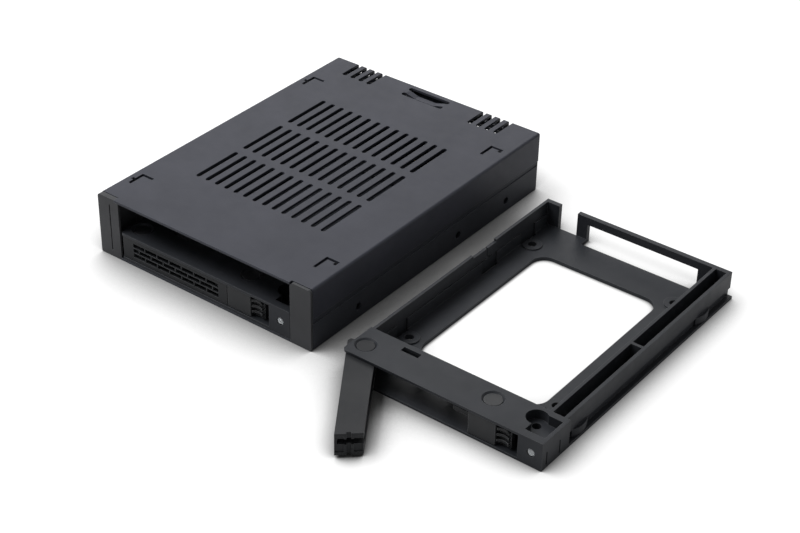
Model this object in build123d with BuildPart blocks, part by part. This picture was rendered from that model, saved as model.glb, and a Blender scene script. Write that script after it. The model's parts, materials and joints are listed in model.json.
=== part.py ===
"""Hot swap drive cage for a 3.5 inch bay, with two trays for 2.5 inch drives.

The lower tray is seated in the cage with its lever shut. The upper tray lies
on the table beside the cage with its lever open. Lengths are millimetres.
Cage frame: origin on the bottom plane at the centre of the footprint,
X to the right, Y to the back, Z up. Trays are drawn in their own frame,
with the origin at the front left bottom corner, and then moved to their seats.
"""
import os
from math import cos, radians, sin

from build123d import *

os.makedirs("parts", exist_ok=True)

# Cage envelope and sheet metal
cage_width = 101.6
cage_height = 25.4
sheet = 1.0
top_bend = 1.0
rear_bend = 1.0
pan_rear_bend = 1.5
seam_low = 11.0
seam_high = 13.0
seam_step = 0.3
seam_line = 0.15
pan_flange_top = 16.0
rear_lip = 5.5

# Tray bay, slots and clearances
left_rail_width = 10.15
right_rail_width = 9.35
slide_gap = 0.25
run_gap = 0.3
pin_gap = 0.08
first_tray_z = 1.2
stack_gap = 0.4

# Front posts, one moulded on each side rail
left_post_depth = 2.0
right_post_depth = 1.0
post_gap = 0.4
post_left_cut = 8.3
post_corner = 1.2
post_foot_corner = 0.6
post_groove_x = 5.8
post_groove_width = 0.6
post_groove_depth = 0.6
post_groove_inset = 2.8
catch_lip = 0.9
catch_pocket_end = 12.2
catch_pocket_depth = 3.4

# Cover openings
vent_count = 14
vent_rows = 3
vent_pitch = 4.62
vent_row_pitch = 26.25
vent_length = 22.5
vent_width = 1.9
vent_centre_x = -0.5
vent_centre_from_front = 69.25
hook_width = 5.8
hook_length = 7.8
hook_slot = 1.3
hook_stub = 1.2
hook_inset = 6.4
hook_from_front = 16.4
hook_from_back = 24.3
hook_depth = 3.0
notch_count = 4
notch_pitch = 4.15
notch_width = 2.1
notch_length = 11.6
notch_drop = 3.8
notch_group_x = 31.6
notch_shift = -1.05
bridge_length = 20.0
bridge_width = 2.6
bridge_slot = 2.2
bridge_slope = 4.5
bridge_drop = 1.3
bridge_x = -0.8
bridge_from_back = 6.2

# Mounting holes for unified coarse number 6 screws
mount_hole_r = 1.5
mount_hole_depth = 4.0
side_hole_z = 5.0
side_hole_first = 26.5
side_hole_steps = (0.0, 60.0, 91.5)
bottom_hole_inset = 3.175
bottom_hole_y = 44.45

# Backplane board and its connectors
board_thickness = 1.6
board_side_gap = 2.3
board_bottom = 1.6
board_top_gap = 0.8
board_gap = 3.0
rear_space = 12.8
board_screw_r = 1.25
board_screw_head_r = 2.3
board_screw_head = 1.3
board_screw_length = 7.0
board_screw_inset = 4.8
board_screw_low = 8.8
board_screw_top_gap = 4.0
board_vent_width = 9.0
board_vent_height = 7.0
board_vent_inset = 21.3
board_vent_z = 17.0
socket_width = 42.0
socket_height = 3.8
socket_reach = 6.2
socket_lift = 2.0
socket_slot_height = 2.2
socket_slot_depth = 4.8
socket_key = 1.0
data_slot = (-19.3, -9.6)
power_slot = (-6.6, 14.0)
contact_pitch = 1.27
contact_inset = 0.9
contact_width = 0.6
contact_thickness = 0.15
data_port_width = 15.0
data_port_height = 5.6
port_depth = 9.4
data_port_x = (-22.0, 2.0)
data_port_z = 8.0
power_port_width = 24.0
power_port_height = 5.6
power_port_inset = 21.8
port_wall = 1.0
port_blade_inset = 2.2
port_blade_thickness = 1.2
port_blade_short = 1.6
panel_gap = 0.4
lamp_size = 1.6
chip_size = 5.5
chip_height = 1.0
chip_x = (-10.0, 12.0)
chip_z = 17.0
capacitor_r = 2.0
capacitor_height = 5.0
capacitor_x = (-16.2, 1.0, 17.6)

# Rail screws through the pan floor
rail_screw_r = 1.25
rail_screw_head_r = 2.4
rail_screw_length = 6.0
rail_screw_from_front = (12.0, 74.0)
rail_screw_inset = 4.8

# Tray frame
tray_length = 124.5
tray_plate = 1.0
tray_floor = 1.5
bar_depth = 16.0
bar_wall = 1.4
bar_corner = 1.6
left_inset = 0.6
left_wall = 1.2
left_foot = 1.8
left_foot_top = 6.2
right_inset = 1.2
flange_height = 1.1
window_left = 12.0
window_inset = 17.8
window_front = 25.0
window_from_back = 21.0
window_corner = 6.0
floor_from_back = 6.0
rear_wall = 2.0
rear_stub = 7.1
rear_post_left = 15.4
rear_post_right = 20.0
rear_window_inset = 13.9
beam_height = 3.2
channel_wall = 1.2
channel_width = 4.3
outer_wall = 1.3
channel_shelf = 1.4
channel_shelf_z = 8.2
channel_web_y = 64.5
channel_notch = 4.8
channel_notch_y = (39.2, 95.9)
channel_notch_z = 5.9
guide_depth = 0.7
guide_bottom = 2.3
guide_top = 5.3
side_groove_top = 4.3
ledge_height = 1.0
leaf_pad_y = (24.2, 104.5)
leaf_pad_length = 9.5
leaf_pad_line = 0.3
drive_hole_span = 61.72
drive_hole_pitch = 76.6
drive_hole_x = 6.2
drive_hole_y = 29.6
drive_hole_r = 1.7
drive_pad_r = 3.8
drive_pad_rise = 0.5
floor_slot_width = 1.4
floor_slot_y = ((27.4, 33.6), (78.6, 88.2), (104.0, 113.5))
wall_notch_start = 73.8
wall_notch_end = 88.4
wall_notch_depth = 1.0
clip_slot_start = 78.7
clip_slot_end = 85.7
clip_slot_z = 5.6
clip_slot_width = 0.8
cable_slot_x = 16.0
cable_slot_length = 7.2
cable_slot_y = 12.8
cable_slot_width = 2.4
pocket_inset = 9.0
pocket_front = 3.0
pocket_back = 13.5
pocket_depth = 3.8
pocket_wall = 1.3
pocket_screw_inset = 9.3
pocket_screw_y = 10.6
pocket_lobe_r = 3.9
pocket_screw_r = 1.6
recess_inset = 9.5
side_cut_y = (2.8, 10.4)
side_cut_width = 0.7
side_cut_height = 5.6
side_cut_depth = 0.6
air_window_width = 11.0
air_window_height = 5.6
air_window_x = (16.0, 29.5, 43.0)

# Lever
pivot_x = 4.8
pivot_y = 6.8
hub_r = 3.7
boss_r = 3.2
boss_drop = 0.5
boss_chamfer = 0.75
lever_gap = 0.25
lever_front = 0.3
lever_end_slant = 1.5
lever_back = 9.7
lever_wall = 1.2
lever_end_wall = 2.6
lever_cavity_start = 9.0
nose_x = 0.0
nose_y = 1.3
nose_flat = 1.0
open_angle = 56.0
mesh_start = 5.9
mesh_rows = 3
mesh_pitch = 6.05
mesh_row_pitch = 2.1
mesh_web = 0.4
end_groove_width = 1.6
end_groove_depth = 0.8
end_pocket_width = 3.0
end_pocket_depth = 0.4
end_pocket_lip = 1.2
waist_r = 2.3
waist_half = 2.0

# Lever spring
spring_wire = 0.3
spring_coil_r = 3.0
spring_pitch = 0.8
spring_turns = 2
spring_wall_gap = 0.4
spring_step = 30
spring_lever_leg = 9.0

# Latch
latch_inset = 26.0
latch_y = 9.7
latch_hub_r = 3.7
latch_plate_reach = 3.25
latch_plate_width = 10.75
latch_plate_front = 0.4
latch_plate_back = 1.8
pad_width = 5.2
pad_front = 2.4
pad_back = 4.2
rib_count = 3
rib_height = 0.9
rib_pitch = 2.3
rib_reach = 1.6
rib_inset = 0.3
scoop_r = 3.6
scoop_depth = 0.9
tongue_reach = 7.6
tongue_front = 2.6
tongue_width = 1.1
tongue_root_back = 9.6
tongue_lift = 0.2
tongue_height = 1.6
tongue_sweep = 1.5
tongue_pocket = 0.65
leaf_thickness = 0.3
leaf_height = 5.0
leaf_bend = 1.0
leaf_start = 3.9
leaf_corner = 11.4
leaf_tip = 9.0

# Light pipe
pipe_r = 1.1
pipe_inset = 4.4
pipe_run_z = 2.9
pipe_bend_start = 18.0
pipe_bend_end = 25.0
pipe_bend_r = 3.0
lens_r = 1.5
lens_length = 2.0
lens_chamfer = 0.4

# Where the removed tray lies on the table
removed_tray_gap = 16.6
removed_tray_ahead = 3.4

# Values worked out from the driving dimensions
board_face = tray_length + board_gap
cage_length = board_face + rear_space
half = cage_width / 2
front = -cage_length / 2
back = cage_length / 2
bay_left = left_rail_width - half
bay_right = half - right_rail_width
rail_side = half - 2 * sheet
slot_pitch = (cage_height - sheet - first_tray_z) / 2
tray_width = bay_right - bay_left - 2 * slide_gap
tray_height = slot_pitch - stack_gap
groove_floor = left_inset + guide_depth
channel_right = tray_width - right_inset - outer_wall
channel_left = channel_right - channel_width
lever_bottom = tray_plate + lever_gap
lever_top = tray_height - tray_plate - lever_gap
lever_middle = tray_height / 2
latch_x = tray_width - latch_inset
latch_plate_left = latch_x - latch_plate_reach
latch_plate_right = latch_plate_left + latch_plate_width
pad_right = latch_plate_right + pad_width
lever_end_front = latch_plate_left - lever_gap
lever_end_back = lever_end_front - lever_end_slant
mesh_columns = int((lever_end_front - mesh_start) / mesh_pitch)
tongue_tip_x = latch_plate_left - tongue_reach
tongue_bottom = lever_middle + tongue_lift
tongue_top = tongue_bottom + tongue_height
pipe_x = tray_width - pipe_inset
tray_seats = {
    "lower": (bay_left + slide_gap, front, first_tray_z),
    "upper": (half + removed_tray_gap, front - removed_tray_ahead, 0.0),
}
lever_angles = {"lower": 0.0, "upper": -open_angle}
slot_floors = (first_tray_z, first_tray_z + slot_pitch)
board_y = front + board_face
board_half = rail_side - board_side_gap
board_top = cage_height - sheet - board_top_gap
board_screw_z = (board_screw_low, cage_height - board_screw_top_gap)
board_screw_spots = [(side * (half - board_screw_inset), z) for side in (-1, 1) for z in board_screw_z]
rail_screw_y = [front + y for y in rail_screw_from_front]
rear_wall_top = cage_height - rear_lip - panel_gap
power_port_x = half - power_port_inset
hook_spots = [front + hook_from_front, back - hook_from_back]
bottom_hole_x = cage_width - 2 * bottom_hole_inset
side_hole_spots = [(front + side_hole_first + step, side_hole_z) for step in side_hole_steps]
FORWARD = (0, -1, 0)
BACKWARD = (0, 1, 0)


def facing(y):
    """Plane that looks to the front at depth y, with X right and Z up."""
    return Plane(origin=(0, y, 0), x_dir=(1, 0, 0), z_dir=FORWARD)


def span(x0, x1, y0, y1, mode=Mode.ADD):
    """Rectangle between two opposite corners of the active sketch."""
    with Locations(((x0 + x1) / 2, (y0 + y1) / 2)):
        Rectangle(abs(x1 - x0), abs(y1 - y0), mode=mode)


def save(part, name):
    """Label a finished piece and write its file."""
    part.label = name
    export_step(part, f"parts/{name}.step")


def hook_slots(side):
    """Angled slots round the two hooks pressed into one side of the cover."""
    left = side * (half - hook_inset) - hook_width / 2
    right = left + hook_width
    for y in hook_spots:
        low = y - hook_length / 2
        high = y + hook_length / 2
        span(left, left + hook_slot, low, high)
        span(left, right, high - hook_slot, high)
        if side < 0:
            span(left - hook_stub, left, y - hook_slot, y)
        else:
            span(right - hook_slot, right, high - hook_slot - hook_stub, high)


# Top cover: folded sheet with vents, hook windows, rear comb and a pressed bridge
with BuildPart() as top_cover:
    with BuildSketch(Plane.XY.offset(seam_high)):
        span(-half, half, front, back)
    extrude(amount=cage_height - seam_high)
    top = top_cover.faces().sort_by(Axis.Z)[-1]
    fillet(top.edges().filter_by(Axis.Y), top_bend)
    rear_edge = top_cover.edges().filter_by(Axis.X).group_by(Axis.Z)[-1].sort_by(Axis.Y)[-1]
    fillet(rear_edge, rear_bend)
    with BuildSketch(Plane.XY.offset(seam_high)):
        span(-half + sheet, half - sheet, front, back - sheet)
    extrude(amount=cage_height - seam_high - sheet, mode=Mode.SUBTRACT)
    with BuildSketch(Plane.XY.offset(seam_high)):
        span(-half + sheet, half - sheet, back - sheet, back)
    extrude(amount=cage_height - seam_high - rear_lip, mode=Mode.SUBTRACT)
    with BuildSketch(Plane.XY.offset(seam_high)):
        span(-half, -half + post_left_cut, front, front + left_post_depth + post_gap)
        span(bay_right, half, front, front + right_post_depth + post_gap)
    extrude(amount=cage_height - seam_high, mode=Mode.SUBTRACT)
    with BuildSketch(Plane.XY.offset(cage_height - sheet)):
        with Locations((vent_centre_x, front + vent_centre_from_front)):
            with GridLocations(vent_pitch, vent_row_pitch, vent_count, vent_rows):
                SlotOverall(vent_length, vent_width, rotation=90)
        hook_slots(-1)
        hook_slots(1)
    extrude(amount=sheet, mode=Mode.SUBTRACT)
    with BuildSketch(Plane.XY.offset(cage_height - notch_drop)):
        for side in (-1, 1):
            with Locations((side * notch_group_x + notch_shift, back)):
                with GridLocations(notch_pitch, 1, notch_count, 1):
                    SlotOverall(2 * notch_length, notch_width, rotation=90)
    extrude(amount=notch_drop, mode=Mode.SUBTRACT)
    bridge_y = back - bridge_from_back
    strip_half = (bridge_length - bridge_slot) / 2
    with BuildSketch(Plane.XY.offset(cage_height - sheet)):
        with Locations((bridge_x, bridge_y)):
            with GridLocations(1, bridge_width + bridge_slot, 1, 2):
                SlotOverall(bridge_length, bridge_slot)
            Rectangle(2 * strip_half, bridge_width)
    extrude(amount=sheet, mode=Mode.SUBTRACT)
    with BuildSketch(facing(bridge_y - bridge_width / 2)):
        with Locations((bridge_x, cage_height)):
            Polygon(
                (-strip_half, 0),
                (bridge_slope - strip_half, -bridge_drop),
                (strip_half - bridge_slope, -bridge_drop),
                (strip_half, 0),
                (strip_half, -sheet),
                (strip_half - bridge_slope, -bridge_drop - sheet),
                (bridge_slope - strip_half, -bridge_drop - sheet),
                (-strip_half, -sheet),
                align=None,
            )
    extrude(amount=bridge_width, dir=BACKWARD)
save(top_cover.part, "top_cover")


# Bottom pan: floor, side walls stepped in under the cover, and the rear wall
with BuildPart() as bottom_pan:
    with BuildSketch(facing(front)):
        with BuildLine():
            Polyline(
                (0, 0),
                (half, 0),
                (half, seam_low),
                (half - seam_step, seam_low),
                (half - seam_step, seam_high - seam_line),
                (half - sheet, seam_high - seam_line),
                (half - sheet, pan_flange_top),
                (rail_side, pan_flange_top),
                (rail_side, seam_low - sheet),
                (half - sheet, seam_low - sheet),
                (half - sheet, sheet),
                (0, sheet),
                close=True,
            )
        make_face()
        mirror(about=Plane.YZ)
    extrude(amount=cage_length, dir=BACKWARD)
    fillet(bottom_pan.edges().filter_by(Axis.Y).group_by(Axis.Z)[0], top_bend / 2)
    with BuildSketch(facing(back - sheet)):
        span(-half + sheet, half - sheet, 0, rear_wall_top)
    extrude(amount=sheet, dir=BACKWARD)
    fillet(bottom_pan.edges().filter_by(Axis.X).group_by(Axis.Z)[0].sort_by(Axis.Y)[-1], pan_rear_bend)
    with BuildSketch(Plane.XY):
        span(-half, bay_left, front, front + left_post_depth + post_gap)
        span(bay_right, half, front, front + right_post_depth + post_gap)
    extrude(amount=pan_flange_top, mode=Mode.SUBTRACT)
    with BuildSketch(Plane.XY):
        with GridLocations(bottom_hole_x, bottom_hole_y, 2, 2):
            Circle(mount_hole_r)
    extrude(amount=sheet, mode=Mode.SUBTRACT)
    with BuildSketch(Plane.YZ.offset(-half)):
        with Locations(*side_hole_spots):
            Circle(mount_hole_r)
    extrude(amount=cage_width, mode=Mode.SUBTRACT)
    with BuildSketch(facing(back - sheet)):
        for x in data_port_x:
            with Locations((x, data_port_z)):
                Rectangle(data_port_width + 2 * panel_gap, data_port_height + 2 * panel_gap)
        with Locations((power_port_x, data_port_z)):
            Rectangle(power_port_width + 2 * panel_gap, power_port_height + 2 * panel_gap)
        with Locations((notch_shift, rear_wall_top - notch_width)):
            with GridLocations(2 * notch_pitch, 1, 2 * notch_count, 1):
                SlotOverall(notch_pitch * 1.4, notch_width)
    extrude(amount=sheet, dir=BACKWARD, mode=Mode.SUBTRACT)
    for side in (-1, 1):
        with Locations(*[(side * (half - rail_screw_inset), y, 0) for y in rail_screw_y]):
            Cone(
                rail_screw_head_r + pin_gap,
                rail_screw_r + pin_gap,
                sheet,
                align=(Align.CENTER, Align.CENTER, Align.MIN),
                mode=Mode.SUBTRACT,
            )
save(bottom_pan.part, "bottom_pan")


def make_rail(side, inner, post_depth):
    """Side rail with its front post and its guides; the left one has the catch pockets."""
    outer = side * half
    with BuildPart() as rail:
        with BuildSketch(facing(front)):
            span(inner, side * rail_side, sheet, cage_height - sheet)
        extrude(amount=board_face, dir=BACKWARD)
        with BuildSketch(facing(front)):
            span(inner, outer, 0, cage_height)
            if side < 0:
                span(outer + post_left_cut, inner, cage_height - sheet, cage_height, mode=Mode.SUBTRACT)
        extrude(amount=post_depth, dir=BACKWARD)
        for end, radius in ((0, post_foot_corner), (-1, post_corner)):
            outer_edges = rail.edges().filter_by(Axis.Y).group_by(Axis.X)[-1 if side > 0 else 0]
            fillet(outer_edges.sort_by(Axis.Z)[end], radius)
        if side > 0:
            top_edges = rail.edges().filter_by(Axis.Y).group_by(Axis.Z)[-1]
            chamfer(top_edges.sort_by(Axis.X)[0], post_corner)
        else:
            with BuildSketch(facing(front)):
                with Locations((outer + post_groove_x, cage_height / 2)):
                    Rectangle(post_groove_width, cage_height - 2 * post_groove_inset)
            extrude(amount=post_groove_depth, dir=BACKWARD, mode=Mode.SUBTRACT)
            for floor in slot_floors:
                with BuildSketch(Plane.XY.offset(floor - lever_gap)):
                    span(inner - catch_pocket_depth, inner, front + catch_lip, front + catch_pocket_end)
                extrude(amount=tray_height + 2 * lever_gap, mode=Mode.SUBTRACT)
        with BuildSketch(Plane.XY.offset(cage_height - sheet - hook_depth)):
            hook_slots(side)
        extrude(amount=hook_depth, mode=Mode.SUBTRACT)
        with BuildSketch(Plane.XY.offset(sheet)):
            with Locations(*[(side * (half - rail_screw_inset), y) for y in rail_screw_y]):
                Circle(rail_screw_r)
        extrude(amount=rail_screw_length, mode=Mode.SUBTRACT)
        with BuildSketch(facing(board_y)):
            with Locations(*board_screw_spots):
                Circle(board_screw_r)
        extrude(amount=board_screw_length, dir=FORWARD, mode=Mode.SUBTRACT)
        with BuildSketch(Plane.XY.offset(sheet)):
            with GridLocations(bottom_hole_x, bottom_hole_y, 2, 2):
                Circle(mount_hole_r + run_gap)
        extrude(amount=mount_hole_depth, mode=Mode.SUBTRACT)
        with BuildSketch(Plane.YZ.offset(side * rail_side)):
            with Locations(*side_hole_spots):
                Circle(mount_hole_r + run_gap)
        extrude(amount=-side * mount_hole_depth, mode=Mode.SUBTRACT)
        guide_start = bar_depth + run_gap
        with BuildSketch(facing(front + guide_start)):
            if side < 0:
                for floor in slot_floors:
                    rib_low = floor + guide_bottom + slide_gap
                    rib_high = floor + guide_top - slide_gap
                    span(inner, inner + slide_gap + groove_floor - run_gap, rib_low, rib_high)
            else:
                ledge_top = slot_floors[1] - slide_gap
                ledge_tip = inner - slide_gap - right_inset + run_gap
                span(ledge_tip, inner, ledge_top - ledge_height, ledge_top)
        extrude(amount=board_face - guide_start, dir=BACKWARD)
    return rail.part


save(make_rail(-1, bay_left, left_post_depth), "left_rail")
save(make_rail(1, bay_right, right_post_depth), "right_rail")


# Backplane board
with BuildPart() as backplane_board:
    with BuildSketch(facing(board_y)):
        span(-board_half, board_half, board_bottom, board_top)
        with Locations(*board_screw_spots):
            Circle(board_screw_r + pin_gap, mode=Mode.SUBTRACT)
        with Locations((board_vent_inset - half, board_vent_z), (half - board_vent_inset, board_vent_z)):
            Rectangle(board_vent_width, board_vent_height, mode=Mode.SUBTRACT)
    extrude(amount=board_thickness, dir=BACKWARD)
save(backplane_board.part, "backplane_board")


def socket_slots():
    """The two keyed slots of a drive socket, drawn about the socket's middle."""
    for left, right in (data_slot, power_slot):
        span(left, right, -socket_slot_height / 2, socket_slot_height / 2)
        span(left, left + socket_key, -socket_slot_height / 2, socket_slot_height / 2 + socket_key / 2)


def contact_places(left, right):
    """Contact positions that fill one slot at the contact pitch."""
    count = int((right - left - 2 * contact_inset) / contact_pitch) + 1
    return [left + contact_inset + step * contact_pitch for step in range(count)]


# Drive sockets, one per slot, facing the front
socket_centre_x = bay_left + slide_gap + (rear_post_right + tray_width - rear_window_inset) / 2
for name, floor in zip(("lower", "upper"), slot_floors):
    socket_z = floor + socket_lift + socket_height / 2
    socket_plane = Plane(
        origin=(socket_centre_x, board_y - socket_reach, socket_z), x_dir=(1, 0, 0), z_dir=FORWARD
    )
    with BuildPart() as drive_socket:
        with BuildSketch(socket_plane):
            Rectangle(socket_width, socket_height)
        extrude(amount=socket_reach, dir=BACKWARD)
        with BuildSketch(socket_plane):
            socket_slots()
        extrude(amount=socket_slot_depth, dir=BACKWARD, mode=Mode.SUBTRACT)
    save(drive_socket.part, f"{name}_drive_socket")
    with BuildPart() as socket_contacts:
        with BuildSketch(socket_plane):
            for slot in (data_slot, power_slot):
                for x in contact_places(*slot):
                    with Locations((x, -socket_slot_height / 2 + contact_thickness / 2)):
                        Rectangle(contact_width, contact_thickness)
        extrude(amount=socket_slot_depth, dir=BACKWARD)
    save(socket_contacts.part, f"{name}_socket_contacts")


def make_port(x, width, height):
    """Shrouded plug on the rear of the board, with its keyed blade."""
    port_plane = Plane(
        origin=(x, board_y + board_thickness, data_port_z), x_dir=(1, 0, 0), z_dir=FORWARD
    )
    with BuildPart() as port:
        with BuildSketch(port_plane):
            Rectangle(width, height)
        extrude(amount=port_depth, dir=BACKWARD)
        fillet(port.edges().filter_by(Axis.Y), port_wall / 2)
        with BuildSketch(port_plane.offset(-port_wall)):
            Rectangle(width - 2 * port_wall, height - 2 * port_wall)
        extrude(amount=port_depth - port_wall, dir=BACKWARD, mode=Mode.SUBTRACT)
        with BuildSketch(port_plane.offset(-port_wall)):
            Rectangle(width - 2 * port_blade_inset, port_blade_thickness)
            blade_end = width / 2 - port_blade_inset
            span(blade_end - port_blade_thickness, blade_end, -port_blade_thickness, 0)
        extrude(amount=port_depth - port_wall - port_blade_short, dir=BACKWARD)
    return port.part


for number, x in enumerate(data_port_x, start=1):
    save(make_port(x, data_port_width, data_port_height), f"data_port_{number}")
save(make_port(power_port_x, power_port_width, power_port_height), "power_port")

# Lamps on the board, one behind the light pipe of each slot
with BuildPart() as status_lamps:
    with BuildSketch(facing(board_y - lamp_size)):
        with Locations(*[(bay_left + slide_gap + pipe_x, floor + pipe_run_z) for floor in slot_floors]):
            Rectangle(lamp_size, lamp_size)
    extrude(amount=lamp_size, dir=BACKWARD)
save(status_lamps.part, "status_lamps")

# Chips and capacitors on the rear of the board
with BuildPart() as board_chips:
    with BuildSketch(facing(board_y + board_thickness)):
        with Locations(*[(x, chip_z) for x in chip_x]):
            Rectangle(chip_size, chip_size)
    extrude(amount=chip_height, dir=BACKWARD)
save(board_chips.part, "board_chips")
with BuildPart() as board_capacitors:
    with BuildSketch(facing(board_y + board_thickness)):
        with Locations(*[(x, chip_z) for x in capacitor_x]):
            Circle(capacitor_r)
    extrude(amount=capacitor_height, dir=BACKWARD)
save(board_capacitors.part, "board_capacitors")

# Screws that hold the board to the rails
with BuildPart() as board_screws:
    with BuildSketch(facing(board_y + board_thickness)):
        with Locations(*board_screw_spots):
            Circle(board_screw_head_r)
    extrude(amount=board_screw_head, dir=BACKWARD)
    with BuildSketch(facing(board_y + board_thickness)):
        with Locations(*board_screw_spots):
            Circle(board_screw_r - pin_gap)
    extrude(amount=board_thickness + board_screw_length - run_gap, dir=FORWARD)
    with BuildSketch(facing(board_y + board_thickness + board_screw_head / 2)):
        with Locations(*board_screw_spots):
            Rectangle(board_screw_head_r, board_screw_head_r / 4)
            Rectangle(board_screw_head_r / 4, board_screw_head_r)
    extrude(amount=board_screw_head / 2, dir=BACKWARD, mode=Mode.SUBTRACT)
save(board_screws.part, "board_screws")

# Countersunk screws that hold the rails down to the pan
rail_screw_spots = [(side * (half - rail_screw_inset), y) for side in (-1, 1) for y in rail_screw_y]
with BuildPart() as rail_screws:
    with Locations(*rail_screw_spots):
        Cone(
            rail_screw_head_r,
            rail_screw_r - pin_gap,
            sheet,
            align=(Align.CENTER, Align.CENTER, Align.MIN),
        )
    with BuildSketch(Plane.XY.offset(sheet)):
        with Locations(*rail_screw_spots):
            Circle(rail_screw_r - pin_gap)
    extrude(amount=rail_screw_length - run_gap)
    with BuildSketch(Plane.XY):
        with Locations(*rail_screw_spots):
            Rectangle(rail_screw_head_r, rail_screw_head_r / 4)
            Rectangle(rail_screw_head_r / 4, rail_screw_head_r)
    extrude(amount=sheet / 2, mode=Mode.SUBTRACT)
save(rail_screws.part, "rail_screws")


def bar_outline():
    """Outline of the two plates of the tray's front bar, with the pivot holes."""
    span(0, tray_width, 0, bar_depth)
    with Locations((pivot_x, pivot_y), (latch_x, latch_y)):
        Circle(boss_r + pin_gap, mode=Mode.SUBTRACT)


def pocket_outline(margin=0.0):
    """Lobe of the front pocket round its screw hole."""
    with Locations((tray_width - pocket_screw_inset, pocket_screw_y)):
        Circle(pocket_lobe_r + margin)


def make_tray_frame():
    """Moulded tray: front bar, floor with window, walls, pipe channel and side guides."""
    bar_inner_top = tray_height - tray_plate
    rear_inner = tray_length - rear_wall
    floor_back = tray_length - floor_from_back
    window_right = tray_width - window_inset
    window_back = tray_length - window_from_back
    rear_window_right = tray_width - rear_window_inset
    right_face = tray_width - right_inset
    drive_spots = [
        (drive_hole_x + column * drive_hole_span, drive_hole_y + row * drive_hole_pitch)
        for column in (0, 1)
        for row in (0, 1)
    ]
    with BuildPart() as frame:
        for level in (0, bar_inner_top):
            with BuildSketch(Plane.XY.offset(level)):
                bar_outline()
            extrude(amount=tray_plate)
        fillet(frame.edges().filter_by(Axis.Z).group_by(Axis.X)[0].group_by(Axis.Y)[0], bar_corner)
        chamfer(
            frame.edges().filter_by(GeomType.CIRCLE).group_by(Axis.Z)[-1].filter_by(
                lambda edge: abs(edge.radius - boss_r - pin_gap) < pin_gap
            ),
            boss_chamfer,
        )

        # Rear wall of the bar with its air windows, and the block at the right end
        with BuildSketch(facing(bar_depth - bar_wall)):
            span(0, tray_width, 0, tray_height)
            with Locations(*[(x, tray_height / 2) for x in air_window_x]):
                RectangleRounded(air_window_width, air_window_height, bar_wall / 2, mode=Mode.SUBTRACT)
        extrude(amount=bar_wall, dir=BACKWARD)
        with BuildSketch():
            span(tray_width - recess_inset, tray_width, 0, bar_depth)
            pocket_outline(pocket_wall)
        extrude(amount=tray_height)
        with BuildSketch(Plane.XY.offset(tray_height - pocket_depth)):
            span(tray_width - pocket_inset, tray_width - pocket_wall, pocket_front, pocket_back)
            pocket_outline()
        extrude(amount=pocket_depth, mode=Mode.SUBTRACT)
        with BuildSketch(Plane.XY.offset(tray_plate)):
            with Locations((tray_width - pocket_screw_inset, pocket_screw_y)):
                Circle(pocket_screw_r)
        extrude(amount=tray_height - pocket_depth - tray_plate, mode=Mode.SUBTRACT)
        with BuildSketch(Plane.XY.offset(bar_inner_top)):
            with Locations((cable_slot_x + cable_slot_length / 2, cable_slot_y)):
                Rectangle(cable_slot_length, cable_slot_width)
        extrude(amount=tray_plate, mode=Mode.SUBTRACT)
        with BuildSketch(Plane.YZ.offset(tray_width - side_cut_depth)):
            with Locations(*[(y, tray_plate + side_cut_height / 2) for y in side_cut_y]):
                Rectangle(side_cut_width, side_cut_height)
        extrude(amount=side_cut_depth, mode=Mode.SUBTRACT)

        # Floor with its side flanges, and the raised seats round the drive's screw holes
        with BuildSketch():
            span(0, tray_width, bar_depth - bar_wall, tray_length)
        extrude(amount=flange_height)
        with BuildSketch():
            span(left_inset, right_face, bar_depth - bar_wall, tray_length)
        extrude(amount=tray_floor)
        with BuildSketch(Plane.XY.offset(tray_floor)):
            with Locations(*drive_spots):
                Circle(drive_pad_r)
            span(left_inset, right_face, bar_depth, tray_length, mode=Mode.INTERSECT)
        extrude(amount=drive_pad_rise)
        with BuildSketch():
            with Locations(((window_left + window_right) / 2, (window_front + window_back) / 2)):
                RectangleRounded(window_right - window_left, window_back - window_front, window_corner)
            with Locations(*drive_spots):
                Circle(drive_hole_r)
            span(rear_post_right, rear_window_right, floor_back, tray_length)
            span(rear_stub, rear_post_left, rear_inner, tray_length)
        extrude(amount=tray_floor + drive_pad_rise, mode=Mode.SUBTRACT)

        # Side walls, rear posts and the rail channel
        with BuildSketch():
            span(left_inset, left_inset + left_wall, bar_depth - bar_wall, tray_length)
            span(left_inset, rear_stub, rear_inner, tray_length)
            span(rear_post_left, rear_post_right, rear_inner, tray_length)
            span(rear_window_right, right_face, rear_inner, tray_length)
            span(channel_left - channel_wall, channel_left, bar_depth, tray_length)
            span(channel_right, right_face, bar_depth, tray_length)
            with Locations(((channel_left + channel_right) / 2, channel_web_y)):
                Rectangle(channel_width, channel_wall)
        extrude(amount=tray_height)
        with BuildSketch():
            span(left_inset, left_inset + left_foot, bar_depth, rear_inner)
        extrude(amount=left_foot_top)
        with BuildSketch(Plane.XY.offset(tray_height - beam_height)):
            span(rear_post_left, right_face, rear_inner, tray_length)
        extrude(amount=beam_height)
        with BuildSketch():
            span(channel_right - channel_shelf, channel_right, pipe_bend_end + pipe_r, rear_inner)
        extrude(amount=channel_shelf_z)
        with BuildSketch(Plane.XY.offset(channel_notch_z)):
            with Locations(*[(channel_right - channel_shelf / 2, y) for y in channel_notch_y]):
                Rectangle(channel_shelf, channel_notch)
        extrude(amount=channel_shelf_z - channel_notch_z, mode=Mode.SUBTRACT)

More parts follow.
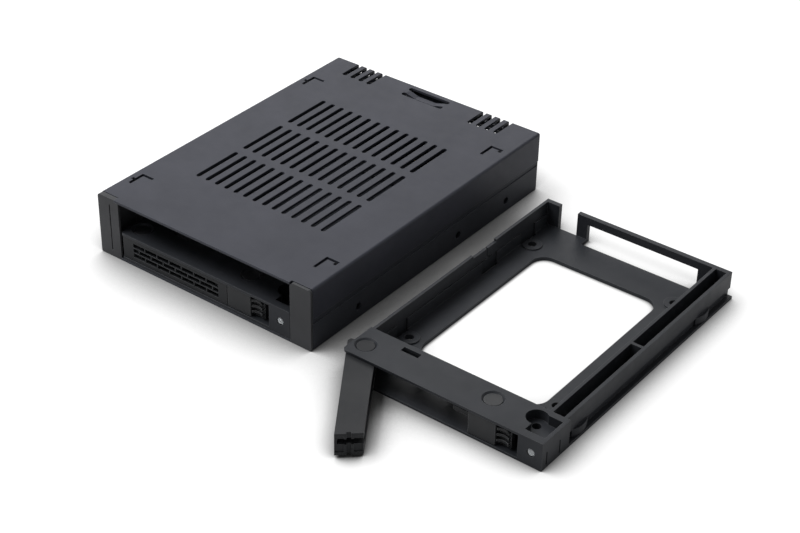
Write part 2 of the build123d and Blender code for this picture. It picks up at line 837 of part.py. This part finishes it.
        # Slots beside the left wall, and the clip slot and notch in that wall
        with BuildSketch():
            for start, end in floor_slot_y:
                wall_inner = left_inset + left_wall
                span(wall_inner, wall_inner + floor_slot_width, start, end)
        extrude(amount=left_foot_top, mode=Mode.SUBTRACT)
        with BuildSketch(Plane.YZ):
            clip_middle = (clip_slot_start + clip_slot_end) / 2
            span(wall_notch_start, wall_notch_end, tray_height - wall_notch_depth, tray_height)
            span(clip_slot_start, clip_slot_end, clip_slot_z, clip_slot_z + clip_slot_width)
            span(clip_middle, clip_middle + clip_slot_width, clip_slot_z, tray_height)
        extrude(amount=left_inset + left_wall, mode=Mode.SUBTRACT)

        # Guide groove in the left side, and sprung pads in the groove over the right flange
        with BuildSketch(facing(bar_depth)):
            span(0, groove_floor, guide_bottom, guide_top)
            span(right_face - guide_depth, tray_width, flange_height, side_groove_top)
        extrude(amount=tray_length - bar_depth, dir=BACKWARD, mode=Mode.SUBTRACT)
        with BuildSketch(Plane.XY.offset(flange_height + leaf_pad_line)):
            for y in leaf_pad_y:
                with BuildLine():
                    pad_start = (right_face, y - leaf_pad_length / 2)
                    pad_end = (right_face, y + leaf_pad_length / 2)
                    ThreePointArc(pad_start, (tray_width, y), pad_end)
                    Polyline(
                        pad_end,
                        (right_face - guide_depth, y + leaf_pad_length / 2),
                        (right_face - guide_depth, y - leaf_pad_length / 2),
                        pad_start,
                    )
                make_face()
        extrude(amount=side_groove_top - flange_height - leaf_pad_line)

        # Passage for the light pipe
        with BuildSketch(facing(0)):
            with Locations((pipe_x, lever_middle)):
                Circle(pipe_r + pin_gap)
        extrude(amount=bar_depth, dir=BACKWARD, mode=Mode.SUBTRACT)
        with BuildSketch(facing(0)):
            with Locations((pipe_x, lever_middle)):
                Circle(lens_r + pin_gap)
        extrude(amount=lens_length + pin_gap, dir=BACKWARD, mode=Mode.SUBTRACT)
        with BuildSketch(facing(pipe_bend_end)):
            with Locations((pipe_x, pipe_run_z)):
                Circle(pipe_r + pin_gap)
        extrude(amount=tray_length, dir=BACKWARD, mode=Mode.SUBTRACT)
    return frame.part


def make_lever():
    """Tray lever drawn shut: hub with catch nose, hollow arm, mesh front, slotted end."""
    hub_left = (pivot_x - hub_r, pivot_y)
    hub_back = (pivot_x, pivot_y + hub_r)
    hub_between = (pivot_x - hub_r * cos(radians(45)), pivot_y + hub_r * sin(radians(45)))
    cavity_height = lever_top - lever_bottom - 2 * lever_wall
    cavity_end = lever_end_back - lever_end_wall
    with BuildPart() as lever:
        with BuildSketch(Plane.XY.offset(lever_bottom)):
            with BuildLine():
                Polyline(
                    hub_left,
                    (nose_x, nose_y),
                    (nose_flat, lever_front),
                    (lever_end_front, lever_front),
                    (lever_end_back, lever_back),
                    hub_back,
                )
                ThreePointArc(hub_back, hub_between, hub_left)
            make_face()
        extrude(amount=lever_top - lever_bottom)
        with BuildSketch(Plane.XY.offset(lever_bottom + lever_wall)):
            span(lever_cavity_start, cavity_end, lever_front + lever_wall, lever_back + hub_r)
        extrude(amount=cavity_height, mode=Mode.SUBTRACT)

        # Mesh of brick-like cells in the front wall, with half cells at the ends of the shifted row
        cell_height = mesh_row_pitch - mesh_web
        mesh_middle = mesh_start + mesh_columns * mesh_pitch / 2
        end_offset = (mesh_columns - 0.5) * mesh_pitch / 2
        with BuildSketch(facing(lever_front)):
            for row in range(mesh_rows):
                shift = row % 2
                with Locations((mesh_middle, lever_middle + (row - (mesh_rows - 1) / 2) * mesh_row_pitch)):
                    with GridLocations(mesh_pitch, 1, mesh_columns - shift, 1):
                        Rectangle(mesh_pitch - mesh_web, cell_height)
                    if shift:
                        with Locations((-end_offset, 0), (end_offset, 0)):
                            Rectangle(mesh_pitch / 2 - mesh_web, cell_height)
        extrude(amount=lever_wall, dir=BACKWARD, mode=Mode.SUBTRACT)

        # Waist of the hub for the spring, with a way out for its leg
        with BuildSketch(Plane.XY.offset(lever_middle - waist_half)):
            with Locations((pivot_x, pivot_y)):
                Circle(hub_r + 2 * run_gap)
            leg_y = pivot_y - spring_coil_r
            span(pivot_x, lever_cavity_start, leg_y - 3 * spring_wire, leg_y + 3 * spring_wire)
            with Locations((pivot_x, pivot_y)):
                Circle(waist_r, mode=Mode.SUBTRACT)
        extrude(amount=2 * waist_half, mode=Mode.SUBTRACT)

        # Bosses that turn in the plates of the bar
        with BuildSketch(Plane.XY.offset(pin_gap)):
            with Locations((pivot_x, pivot_y)):
                Circle(boss_r)
        extrude(amount=lever_bottom)
        with BuildSketch(Plane.XY.offset(lever_top)):
            with Locations((pivot_x, pivot_y)):
                Circle(boss_r)
        extrude(amount=tray_height - lever_top - boss_drop)

        # Groove and shallow pockets in the end face, and the way in for the latch tongue
        end_middle = (lever_front + lever_back) / 2
        end_face = Plane(
            origin=((lever_end_front + lever_end_back) / 2, end_middle, lever_bottom),
            x_dir=(-lever_end_slant, lever_back - lever_front, 0),
            z_dir=(lever_back - lever_front, lever_end_slant, 0),
        )
        end_height = lever_top - lever_bottom
        with BuildSketch(end_face):
            span(-end_groove_width / 2, end_groove_width / 2, 0, end_height)
        extrude(amount=-end_groove_depth, mode=Mode.SUBTRACT)
        with BuildSketch(end_face):
            for side in (-1, 1):
                inner_edge = side * end_groove_width
                span(inner_edge, inner_edge + side * end_pocket_width, end_pocket_lip, end_height - end_pocket_lip)
        extrude(amount=-end_pocket_depth, mode=Mode.SUBTRACT)
        with BuildSketch(Plane.XY.offset(tongue_bottom - run_gap)):
            span(cavity_end, lever_end_front, tongue_front - tongue_sweep, lever_back + hub_r)
            span(tongue_tip_x - run_gap, cavity_end, lever_front + tongue_pocket, lever_back + hub_r)
        extrude(amount=tongue_height + 2 * run_gap, mode=Mode.SUBTRACT)
    return lever.part


def make_lever_spring(angle):
    """Torsion spring round the lever hub; its second leg follows the lever's angle."""
    turning = 360 * spring_turns + 90 + angle
    height = spring_pitch * turning / 360
    coil_bottom = lever_middle - height / 2
    steps = round(turning / spring_step)
    coil = []
    for step in range(steps + 1):
        share = step / steps
        turned = radians(180 + turning * share)
        x = pivot_x + spring_coil_r * cos(turned)
        y = pivot_y + spring_coil_r * sin(turned)
        coil.append(Vector(x, y, coil_bottom + height * share))
    wall_leg = bar_depth - bar_wall - spring_wall_gap - pivot_y
    to_wall = Vector(0, 1, 0)
    along_lever = Vector(cos(radians(angle)), sin(radians(angle)), 0)
    leg_points = [coil[0] + to_wall * wall_leg, coil[0] + to_wall * spring_coil_r / 2]
    lever_points = [coil[-1] + along_lever * spring_coil_r / 2, coil[-1] + along_lever * spring_lever_leg]
    with BuildPart() as spring:
        with BuildLine() as wire:
            Spline(*leg_points, *coil, *lever_points)
        with BuildSketch(Plane(wire.line @ 0, z_dir=wire.line % 0)):
            Circle(spring_wire)
        sweep(path=wire.line, is_frenet=True)
    return spring.part


def make_latch():
    """Rocking latch: hub, face plate, ribbed thumb pad and the tongue for the lever."""
    with BuildPart() as latch:
        with BuildSketch(Plane.XY.offset(lever_bottom)):
            with Locations((latch_x, latch_y)):
                Circle(latch_hub_r)
        extrude(amount=lever_top - lever_bottom)
        with BuildSketch(Plane.XY.offset(lever_bottom)):
            with BuildLine():
                Polyline(
                    (latch_plate_left, latch_plate_front),
                    (latch_plate_right, latch_plate_front),
                    (latch_plate_right, pad_front),
                    (pad_right, pad_front),
                    (pad_right, pad_back),
                    (latch_plate_right, pad_back),
                    (latch_x + latch_hub_r, latch_y),
                    (latch_x, latch_y),
                    (latch_plate_left, latch_y - latch_hub_r),
                    close=True,
                )
            make_face()
        extrude(amount=lever_top - lever_bottom)
        pad_middle_x = (latch_plate_right + pad_right) / 2
        with BuildSketch(facing(pad_front)):
            with Locations((pad_middle_x, lever_middle)):
                with GridLocations(1, rib_pitch, 1, rib_count):
                    Rectangle(pad_width - 2 * rib_inset, rib_height)
        extrude(amount=rib_reach, dir=FORWARD)
        with BuildSketch(Plane.XY.offset(lever_bottom)):
            with Locations((pad_middle_x, pad_front - rib_reach + scoop_depth - scoop_r)):
                Circle(scoop_r)
        extrude(amount=lever_top - lever_bottom, mode=Mode.SUBTRACT)
        with BuildSketch(Plane.XY.offset(tongue_bottom)):
            with BuildLine():
                Polyline(
                    (tongue_tip_x, tongue_front),
                    (latch_plate_left + latch_plate_back, tongue_front),
                    (latch_plate_left + latch_plate_back, tongue_root_back),
                    (tongue_tip_x, tongue_front + tongue_width),
                    close=True,
                )
            make_face()
        extrude(amount=tongue_height)
        with BuildSketch(Plane.XY.offset(pin_gap)):
            with Locations((latch_x, latch_y)):
                Circle(boss_r)
        extrude(amount=lever_bottom)
        with BuildSketch(Plane.XY.offset(lever_top)):
            with Locations((latch_x, latch_y)):
                Circle(boss_r)
        extrude(amount=tray_height - lever_top - boss_drop)
    return latch.part


def make_latch_spring():
    """Bent leaf between the rear wall of the bar and the thumb pad."""
    wall_y = bar_depth - bar_wall - leaf_thickness / 2
    with BuildPart() as leaf:
        with BuildSketch(Plane.XY.offset((tray_height - leaf_height) / 2)):
            with BuildLine():
                FilletPolyline(
                    (latch_x + leaf_start, wall_y),
                    (latch_x + leaf_corner, wall_y),
                    (latch_x + leaf_tip, pad_back + leaf_thickness),
                    radius=leaf_bend,
                )
            trace(line_width=leaf_thickness)
        extrude(amount=leaf_height)
    return leaf.part


def make_light_pipe():
    """Clear pipe from the front lens down into the channel and back to the lamp."""
    with BuildPart() as pipe:
        with BuildLine() as path:
            FilletPolyline(
                (pipe_x, pin_gap, lever_middle),
                (pipe_x, pipe_bend_start, lever_middle),
                (pipe_x, pipe_bend_end, pipe_run_z),
                (pipe_x, tray_length - pin_gap, pipe_run_z),
                radius=pipe_bend_r,
            )
        with BuildSketch(Plane((pipe_x, pin_gap, lever_middle), z_dir=BACKWARD)):
            Circle(pipe_r)
        sweep(path=path.line)
        with BuildSketch(Plane((pipe_x, pin_gap + lens_chamfer, lever_middle), z_dir=BACKWARD)):
            Circle(lens_r)
        extrude(amount=lens_length - pin_gap - lens_chamfer)
        with BuildSketch(Plane((pipe_x, pin_gap + lens_chamfer, lever_middle), z_dir=FORWARD)):
            Circle(lens_r)
        extrude(amount=lens_chamfer, taper=45)
    return pipe.part


# Both trays: the lower one shut in the cage, the upper one open on the table
pivot_axis = Axis((pivot_x, pivot_y, 0), (0, 0, 1))
tray_pieces = {
    "tray_frame": make_tray_frame(),
    "latch": make_latch(),
    "latch_spring": make_latch_spring(),
    "light_pipe": make_light_pipe(),
}
shut_lever = make_lever()
for tray, seat in tray_seats.items():
    place = Location(seat)
    for piece, part in tray_pieces.items():
        save(part.moved(place), f"{tray}_{piece}")
    angle = lever_angles[tray]
    save(shut_lever.rotate(pivot_axis, angle).moved(place), f"{tray}_lever")
    save(make_lever_spring(angle).moved(place), f"{tray}_lever_spring")
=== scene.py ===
"""Looks of the hot swap drive cage: camera, materials, floor and light.

Everything is in metres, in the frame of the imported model. Each piece of the object is a CAD node,
which keeps its shape and gets its material here.
"""
import json
from math import cos, radians, sin

import bpy
from mathutils import Matrix, Vector


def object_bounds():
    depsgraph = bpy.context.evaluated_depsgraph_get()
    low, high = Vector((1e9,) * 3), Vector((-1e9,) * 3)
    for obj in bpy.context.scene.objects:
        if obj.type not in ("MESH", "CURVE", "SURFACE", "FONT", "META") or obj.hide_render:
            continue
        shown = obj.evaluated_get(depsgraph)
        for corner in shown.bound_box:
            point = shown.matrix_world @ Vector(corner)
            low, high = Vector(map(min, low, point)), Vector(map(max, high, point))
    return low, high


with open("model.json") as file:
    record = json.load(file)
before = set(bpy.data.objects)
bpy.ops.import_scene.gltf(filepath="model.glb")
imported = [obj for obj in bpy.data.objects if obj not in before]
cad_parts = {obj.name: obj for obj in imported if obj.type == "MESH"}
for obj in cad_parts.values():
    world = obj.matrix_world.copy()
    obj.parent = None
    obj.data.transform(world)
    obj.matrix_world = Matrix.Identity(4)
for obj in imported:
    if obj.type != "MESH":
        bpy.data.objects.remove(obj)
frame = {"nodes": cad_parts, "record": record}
CAD_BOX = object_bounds()

# Camera, fitted to the photograph's frame of 800 by 533 pixels; lens and sensor are in millimetres
LENS = 82.59
SENSOR_WIDTH = 36.0
AZIMUTH = radians(36.82)
ELEVATION = radians(33.84)
ROLL = radians(1.225)
DISTANCE = 0.70324
AIM = Vector((-0.0008, -0.00015, 0.010))
AIM_RIGHT = 0.028985
AIM_UP = -0.027034
CLIP_START = 0.01
CLIP_END = 20.0

# Lamps: a softbox from the front left, and a wider and weaker one from the left behind
KEY_PLACE = (-0.50, -0.28, 0.92)
KEY_SIZE = 0.6
KEY_POWER = 11.5
SHEEN_PLACE = (-0.60, 0.80, 0.70)
SHEEN_SIZE = 0.9
SHEEN_POWER = 3.6

# World: how strongly it lights, and how strongly it shows to the camera, in gloss and in glass
WORLD_FILL = 0.14
WORLD_SEEN = 1.0
WHITE = (1, 1, 1, 1)

# Floor: how pale it is to light and to the eye, its glow to the eye, and how near a thing has to
# be to take that glow away, from all of it to none of it as the share of open air grows. Taking the
# glow away near things paints a contact shadow, on top of the shadow really cast on the paper
FLOOR_SIZE = 6.0
FLOOR_BOUNCE = 0.78
FLOOR_PAPER = 0.28
FLOOR_LIFT = 0.90
CONTACT_REACH = 0.042
CONTACT_SHADE = (0.4, 0.98)
CONTACT_SAMPLES = 24

# Fine grain: how many grains to a metre, how deep they are, and how far an edge is rounded. The
# rub on an edge goes from none to full by how well the flat and the rounded surface agree there;
# the lighter edge is partly wear and partly painted highlight
PLASTIC_GRAIN = (2600.0, 0.000012, 0.0002)
METAL_GRAIN = (3000.0, 0.000004, 0.00008)
PIPE_GRAIN = (1500.0, 0.000006, 0.00015)
BOARD_GRAIN = (1800.0, 0.00001, 0.0001)
EDGE_SAMPLES = 6
EDGE_WEAR_AND_HIGHLIGHT_SPAN = (1.0, 0.88)

# Wider patterns, as patches to a metre
CLOUD_SCALE = 55.0
CLOUD_SPAN = (0.35, 0.65)
SMEAR_SCALE = 240.0
STREAK_SCALE = 900.0
STREAK_STRETCH = (1, 1, 8)
PIPE_CLOUD_SCALE = 400.0
COPPER_SCALE = 420.0
COPPER_SPAN = (0.25, 0.33)
MASK_GLOSS_SCALE = 600.0

# Clear plastic of the light pipes, and the tones of the circuit board
PIPE_TRANSMISSION = 0.65
PIPE_IOR = 1.49
PIPE_TONES = ((0.80, 0.86, 0.90), (0.94, 0.97, 1.0))
PIPE_ROUGH = (0.03, 0.10)
MASK_TONES = ((0.012, 0.10, 0.035), (0.005, 0.055, 0.02))
MASK_ROUGH = (0.25, 0.45)

# Colours of rubbed edges, partly wear and partly painted highlight; on the latch ribs, a painted
# glint
SLATE_EDGE_WEAR_AND_HIGHLIGHT = (0.085, 0.09, 0.105)
BLACK_EDGE_WEAR_AND_HIGHLIGHT = (0.075, 0.078, 0.083)
POST_EDGE_WEAR_AND_HIGHLIGHT = (0.11, 0.113, 0.12)
RIB_PAINTED_GLINT = (0.17, 0.175, 0.18)
LAMP_EDGE_WEAR_AND_HIGHLIGHT = (0.9, 0.9, 0.88)

# Sockets of a node that mixes colours, which share their names with its other sockets
MIX_FIRST = 6
MIX_SECOND = 7
MIX_RESULT = 2


def add_camera():
    """Camera at the photograph's angle."""
    back = Vector((sin(AZIMUTH) * cos(ELEVATION), -cos(AZIMUTH) * cos(ELEVATION), sin(ELEVATION)))
    level = Vector((cos(AZIMUTH), sin(AZIMUTH), 0))
    upright = back.cross(level)
    right = level * cos(ROLL) + upright * sin(ROLL)
    up = upright * cos(ROLL) - level * sin(ROLL)
    data = bpy.data.cameras.new("camera")
    data.lens = LENS
    data.sensor_width = SENSOR_WIDTH
    data.sensor_fit = "HORIZONTAL"
    data.clip_start = CLIP_START
    data.clip_end = CLIP_END
    camera = bpy.data.objects.new("camera", data)
    bpy.context.scene.collection.objects.link(camera)
    camera.matrix_world = Matrix((right, up, back)).transposed().to_4x4()
    camera.location = AIM + back * DISTANCE + right * AIM_RIGHT + up * AIM_UP
    bpy.context.scene.camera = camera


def add_lamp(name, place, size, power):
    """Soft square lamp, turned to the frame's origin, which is under the middle of the cage."""
    data = bpy.data.lights.new(name, "AREA")
    data.shape = "SQUARE"
    data.size = size
    data.energy = power
    lamp = bpy.data.objects.new(name, data)
    lamp.location = place
    lamp.rotation_euler = (-Vector(place)).to_track_quat("-Z", "Y").to_euler()
    bpy.context.scene.collection.objects.link(lamp)


class Nodes:
    """Adds nodes and their links to the emptied node tree of a material or the world."""

    def __init__(self, owner):
        owner.use_nodes = True
        self.tree = owner.node_tree
        self.tree.nodes.clear()

    def add(self, kind, inputs=None, **properties):
        """New node; each input is given as a plain value or as the socket that feeds it."""
        node = self.tree.nodes.new(kind)
        for key, value in properties.items():
            setattr(node, key, value)
        for key, value in (inputs or {}).items():
            self.feed(node.inputs[key], value)
        return node

    def feed(self, target, value):
        """Links an input to the socket that feeds it, or sets it to a plain value."""
        if isinstance(value, bpy.types.NodeSocket):
            self.tree.links.new(value, target)
        else:
            target.default_value = value


def combine(nodes, operation, first, second):
    """Value worked out from two others."""
    return nodes.add("ShaderNodeMath", {0: first, 1: second}, operation=operation).outputs[0]


def level_between(nodes, factor, low, high):
    """Value that goes from low to high with a factor from 0 to 1."""
    level = nodes.add("ShaderNodeMapRange", {"Value": factor, "To Min": low, "To Max": high})
    return level.outputs["Result"]


def share_between(nodes, value, start, end, curve="LINEAR"):
    """Factor that goes from 0 to 1 as a value goes from start to end."""
    inputs = {"Value": value, "From Min": start, "From Max": end}
    return nodes.add("ShaderNodeMapRange", inputs, interpolation_type=curve).outputs["Result"]


def mix_colours(nodes, factor, first, second):
    """Colour that goes from the first to the second with a factor from 0 to 1."""
    inputs = {"Factor": factor, MIX_FIRST: first, MIX_SECOND: second}
    return nodes.add("ShaderNodeMix", inputs, data_type="RGBA").outputs[MIX_RESULT]


def ramp_between(nodes, factor, low, high, span=CLOUD_SPAN):
    """Colour that goes from low to high as the factor crosses the span."""
    ramp = nodes.add("ShaderNodeValToRGB", {"Fac": factor})
    for stop, place, colour in zip(ramp.color_ramp.elements, span, (low, high)):
        stop.position = place
        stop.color = (*colour, 1)
    return ramp.outputs["Color"]


def noise(nodes, place, scale, detail=2.0):
    """Noise about a place."""
    inputs = {"Vector": place, "Scale": scale, "Detail": detail}
    return nodes.add("ShaderNodeTexNoise", inputs).outputs["Fac"]


def grain(nodes, shader, place, scale, depth, edge):
    """Fine bump over softly rounded edges; gives back how near an edge is, from 0 to 1."""
    bevel = nodes.add("ShaderNodeBevel", {"Radius": edge}, samples=EDGE_SAMPLES)
    rounded = bevel.outputs["Normal"]
    height = noise(nodes, place, scale)
    inputs = {"Strength": 1.0, "Distance": depth, "Height": height, "Normal": rounded}
    nodes.feed(shader.inputs["Normal"], nodes.add("ShaderNodeBump", inputs).outputs["Normal"])
    flat = nodes.add("ShaderNodeNewGeometry").outputs["Normal"]
    agree = nodes.add("ShaderNodeVectorMath", {0: rounded, 1: flat}, operation="DOT_PRODUCT")
    return share_between(nodes, agree.outputs["Value"], *EDGE_WEAR_AND_HIGHLIGHT_SPAN)


def new_material(name):
    """Material with its node helper, its principled shader and its coordinates."""
    material = bpy.data.materials.new(name)
    nodes = Nodes(material)
    shader = nodes.add("ShaderNodeBsdfPrincipled")
    nodes.add("ShaderNodeOutputMaterial", {"Surface": shader.outputs["BSDF"]})
    place = nodes.add("ShaderNodeTexCoord").outputs["Object"]
    return material, nodes, shader, place


def moulded(name, low, high, rough, specular, edge_wear_and_highlight):
    """Moulded plastic or powder coat: cloudy colour, uneven gloss and fine grain.

    Edges are lighter, partly as wear and partly as painted highlight.
    """
    material, nodes, shader, place = new_material(name)
    shader.inputs["Specular IOR Level"].default_value = specular
    near_edge = grain(nodes, shader, place, *PLASTIC_GRAIN)
    cloud = ramp_between(nodes, noise(nodes, place, CLOUD_SCALE, detail=4.0), low, high)
    # Lighter colour on the edges: partly wear, partly painted highlight
    colour = mix_colours(nodes, near_edge, cloud, (*edge_wear_and_highlight, 1))
    nodes.feed(shader.inputs["Base Color"], colour)
    smear = noise(nodes, place, SMEAR_SCALE, detail=3.0)
    nodes.feed(shader.inputs["Roughness"], level_between(nodes, smear, *rough))
    return material


def metal(name, low, high, rough):
    """Bare metal with drawn streaks."""
    material, nodes, shader, place = new_material(name)
    shader.inputs["Metallic"].default_value = 1.0
    drawn = nodes.add("ShaderNodeMapping", {"Vector": place, "Scale": STREAK_STRETCH})
    streak = noise(nodes, drawn.outputs["Vector"], STREAK_SCALE, detail=3.0)
    nodes.feed(shader.inputs["Base Color"], ramp_between(nodes, streak, low, high))
    nodes.feed(shader.inputs["Roughness"], level_between(nodes, streak, *rough))
    grain(nodes, shader, place, *METAL_GRAIN)
    return material


def clear_plastic(name):
    """Clear polished plastic of the light pipes."""
    material, nodes, shader, place = new_material(name)
    shader.inputs["Transmission Weight"].default_value = PIPE_TRANSMISSION
    shader.inputs["IOR"].default_value = PIPE_IOR
    cloud = noise(nodes, place, PIPE_CLOUD_SCALE)
    nodes.feed(shader.inputs["Base Color"], ramp_between(nodes, cloud, *PIPE_TONES))
    nodes.feed(shader.inputs["Roughness"], level_between(nodes, cloud, *PIPE_ROUGH))
    grain(nodes, shader, place, *PIPE_GRAIN)
    return material


def solder_mask(name):
    """Circuit board: green mask over faint copper runs."""
    material, nodes, shader, place = new_material(name)
    inputs = {"Vector": place, "Scale": COPPER_SCALE}
    cells = nodes.add("ShaderNodeTexVoronoi", inputs, distance="MANHATTAN")
    runs = ramp_between(nodes, cells.outputs["Distance"], *MASK_TONES, COPPER_SPAN)
    nodes.feed(shader.inputs["Base Color"], runs)
    gloss = noise(nodes, place, MASK_GLOSS_SCALE)
    nodes.feed(shader.inputs["Roughness"], level_between(nodes, gloss, *MASK_ROUGH))
    grain(nodes, shader, place, *BOARD_GRAIN)
    return material


def seen_ray(nodes):
    """1 for a ray that looks at the backdrop, also in gloss or through glass, and 0 for light."""
    path = nodes.add("ShaderNodeLightPath").outputs
    direct = combine(nodes, "MAXIMUM", path["Is Camera Ray"], path["Is Glossy Ray"])
    return combine(nodes, "MAXIMUM", direct, path["Is Transmission Ray"])


def floor_paper():
    """Pale paper that glows white where it is seen, with painted shadow close to what stands on it.
    """
    material = bpy.data.materials.new("floor_paper")
    nodes = Nodes(material)
    seen = seen_ray(nodes)
    tones = [(tone, tone, tone, 1) for tone in (FLOOR_BOUNCE, FLOOR_PAPER)]
    paper = nodes.add("ShaderNodeBsdfDiffuse", {"Color": mix_colours(nodes, seen, *tones)})
    # Ambient occlusion near what stands on the floor takes the glow away: a painted contact shadow
    reach = {"Distance": CONTACT_REACH}
    painted_shadow_ao = nodes.add("ShaderNodeAmbientOcclusion", reach, samples=CONTACT_SAMPLES)
    open_air = share_between(nodes, painted_shadow_ao.outputs["AO"], *CONTACT_SHADE, curve="SMOOTHSTEP")
    glow = combine(nodes, "MULTIPLY", open_air, level_between(nodes, seen, 0.0, FLOOR_LIFT))
    lift = nodes.add("ShaderNodeEmission", {"Strength": glow})
    total = nodes.add("ShaderNodeAddShader", {0: paper.outputs[0], 1: lift.outputs[0]})
    nodes.add("ShaderNodeOutputMaterial", {"Surface": total.outputs[0]})
    return material


def add_floor():
    """Flat floor under the object's lowest point."""
    rim = FLOOR_SIZE / 2
    low = CAD_BOX[0][2]
    corners = [(-rim, -rim, low), (rim, -rim, low), (rim, rim, low), (-rim, rim, low)]
    mesh = bpy.data.meshes.new("floor")
    mesh.from_pydata(corners, [], [(0, 1, 2, 3)])
    mesh.materials.append(floor_paper())
    floor = bpy.data.objects.new("floor", mesh)
    bpy.context.scene.collection.objects.link(floor)


def set_world():
    """White backdrop for what looks at it, and a weak fill light for the rest."""
    world = bpy.data.worlds.new("studio")
    bpy.context.scene.world = world
    nodes = Nodes(world)
    strength = level_between(nodes, seen_ray(nodes), WORLD_FILL, WORLD_SEEN)
    backdrop = nodes.add("ShaderNodeBackground", {"Color": WHITE, "Strength": strength})
    nodes.add("ShaderNodeOutputWorld", {"Surface": backdrop.outputs[0]})


# One material for each slot of the record, with its darker and its lighter tone
MATERIALS = {
    "coated_steel": moulded(
        "slate_coat", (0.036, 0.038, 0.049), (0.044, 0.046, 0.059),
        rough=(0.42, 0.55), specular=0.13, edge_wear_and_highlight=SLATE_EDGE_WEAR_AND_HIGHLIGHT),
    "coated_pan": moulded(
        "slate_coat_pan", (0.036, 0.039, 0.047), (0.044, 0.047, 0.056),
        rough=(0.42, 0.55), specular=0.1, edge_wear_and_highlight=SLATE_EDGE_WEAR_AND_HIGHLIGHT),
    "rail_plastic": moulded(
        "rail_moulding", (0.042, 0.043, 0.046), (0.050, 0.051, 0.055),
        rough=(0.45, 0.6), specular=0.15, edge_wear_and_highlight=POST_EDGE_WEAR_AND_HIGHLIGHT),
    "tray_plastic": moulded(
        "tray_moulding", (0.021, 0.023, 0.027), (0.028, 0.030, 0.035),
        rough=(0.38, 0.55), specular=0.14, edge_wear_and_highlight=BLACK_EDGE_WEAR_AND_HIGHLIGHT),
    "lever_plastic": moulded(
        "lever_moulding", (0.017, 0.018, 0.020), (0.023, 0.024, 0.026),
        rough=(0.40, 0.55), specular=0.14, edge_wear_and_highlight=BLACK_EDGE_WEAR_AND_HIGHLIGHT),
    # The latch ribs' edge colour is a painted glint on their tips
    "latch_plastic": moulded(
        "latch_moulding", (0.020, 0.021, 0.023), (0.027, 0.028, 0.030),
        rough=(0.38, 0.52), specular=0.2, edge_wear_and_highlight=RIB_PAINTED_GLINT),
    "connector_plastic": moulded(
        "connector_moulding", (0.012, 0.012, 0.013), (0.020, 0.020, 0.021),
        rough=(0.35, 0.5), specular=0.4, edge_wear_and_highlight=BLACK_EDGE_WEAR_AND_HIGHLIGHT),
    "chip": moulded(
        "chip_package", (0.016, 0.016, 0.017), (0.026, 0.026, 0.027),
        rough=(0.4, 0.6), specular=0.4, edge_wear_and_highlight=BLACK_EDGE_WEAR_AND_HIGHLIGHT),
    "lamp": moulded(
        "lamp_body", (0.72, 0.72, 0.66), (0.85, 0.85, 0.80),
        rough=(0.25, 0.4), specular=0.5, edge_wear_and_highlight=LAMP_EDGE_WEAR_AND_HIGHLIGHT),
    "board": solder_mask("solder_mask"),
    "clear_pipe": clear_plastic("clear_pipe"),
    "contact_gold": metal(
        "gold_contacts", (0.62, 0.42, 0.14), (0.88, 0.66, 0.30), rough=(0.2, 0.35)),
    "capacitor": metal(
        "aluminium_can", (0.55, 0.55, 0.56), (0.78, 0.78, 0.79), rough=(0.25, 0.4)),
    "screw_steel": metal(
        "dark_zinc", (0.16, 0.16, 0.17), (0.28, 0.28, 0.29), rough=(0.3, 0.5)),
    "spring_steel": metal(
        "spring_wire", (0.42, 0.42, 0.43), (0.70, 0.70, 0.70), rough=(0.2, 0.35)),
}

for row in frame["record"]["subparts"]:
    mesh = frame["nodes"][row["node"]].data
    mesh.materials.clear()
    mesh.materials.append(MATERIALS[row["material_slot"]])

add_camera()
add_floor()
set_world()
add_lamp("key", KEY_PLACE, KEY_SIZE, KEY_POWER)
add_lamp("sheen", SHEEN_PLACE, SHEEN_SIZE, SHEEN_POWER)
bpy.context.scene.view_settings.view_transform = "Standard"
